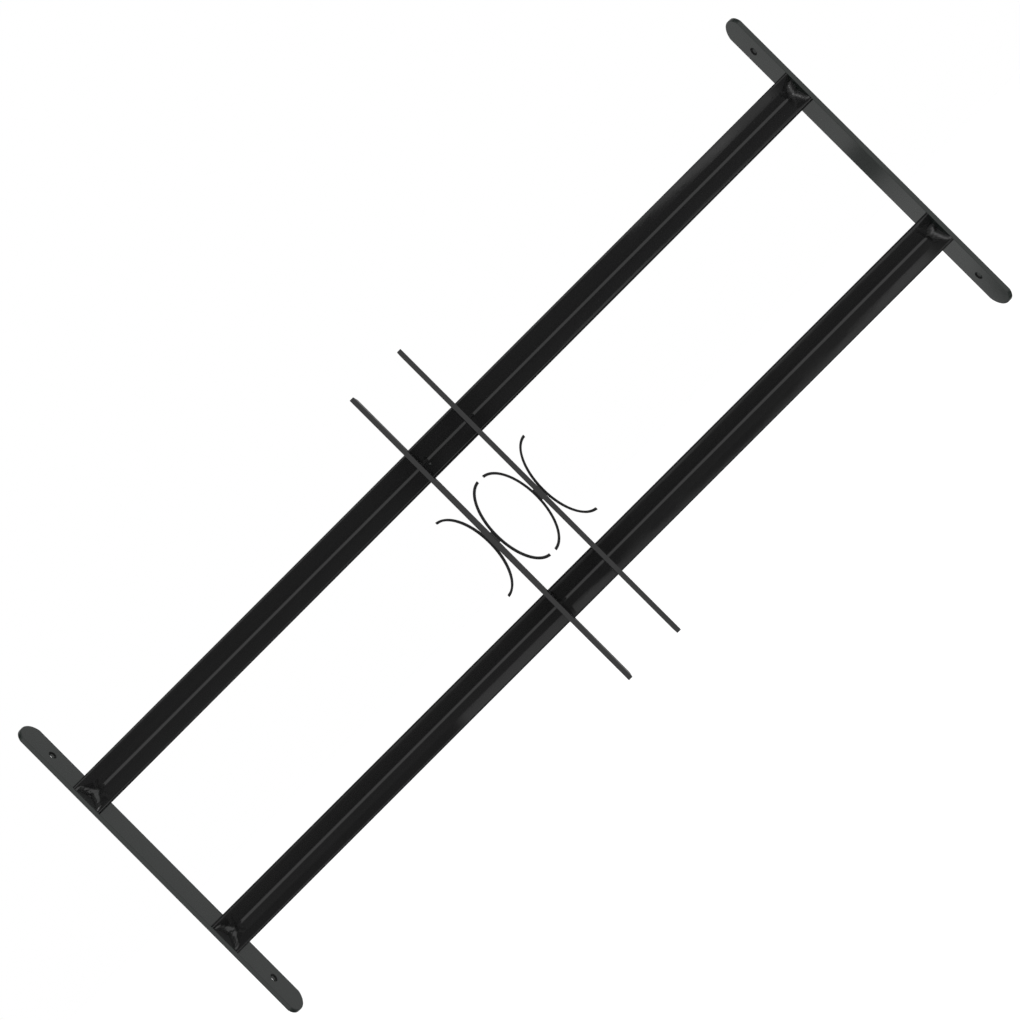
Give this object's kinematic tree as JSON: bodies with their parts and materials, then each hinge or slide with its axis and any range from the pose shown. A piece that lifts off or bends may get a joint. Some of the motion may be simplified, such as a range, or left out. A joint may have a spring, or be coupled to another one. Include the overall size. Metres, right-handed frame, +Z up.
{
  "type": "window grille",
  "caption": "Extending wrought iron window grille in gloss black: two nested halves with V crossbars, uprights and scrolls.",
  "frame": {"origin": "midway between the left plate's two screw holes, on the outer face that lies against the wall", "axes": "+X along the crossbars towards the right plate, +Y away from the viewer, +Z up"},
  "size_m": [0.65, 0.041, 0.2576],
  "materials": {
    "black_powder_coat": "gloss"
  },
  "bodies": {
    "left_half": {"left_end_plate": "black_powder_coat", "left_upper_crossbar": "black_powder_coat", "left_lower_crossbar": "black_powder_coat", "left_upper_plate_weld": "black_powder_coat", "left_lower_plate_weld": "black_powder_coat", "right_upright_upper_top_lug": "black_powder_coat", "right_upright_upper_bottom_lug": "black_powder_coat", "right_upright_lower_top_lug": "black_powder_coat", "right_upright_lower_bottom_lug": "black_powder_coat", "right_upright": "black_powder_coat", "right_outer_scroll": "black_powder_coat", "right_inner_scroll": "black_powder_coat", "right_outer_scroll_weld": "black_powder_coat", "right_inner_scroll_weld": "black_powder_coat"},
    "right_half": {"left_upright": "black_powder_coat", "left_outer_scroll": "black_powder_coat", "left_inner_scroll": "black_powder_coat", "left_outer_scroll_weld": "black_powder_coat", "left_inner_scroll_weld": "black_powder_coat", "right_end_plate": "black_powder_coat", "right_upper_crossbar": "black_powder_coat", "right_lower_crossbar": "black_powder_coat", "right_upper_plate_weld": "black_powder_coat", "right_lower_plate_weld": "black_powder_coat", "left_upright_upper_top_weld": "black_powder_coat", "left_upright_upper_bottom_weld": "black_powder_coat", "left_upright_lower_top_weld": "black_powder_coat", "left_upright_lower_bottom_weld": "black_powder_coat"}
  },
  "joints": [
    {"name": "width_slide", "type": "slide", "parent": "left_half", "child": "right_half", "axis": [1, 0, 0], "range_m": [-0.28, 0.004]}
  ]
}
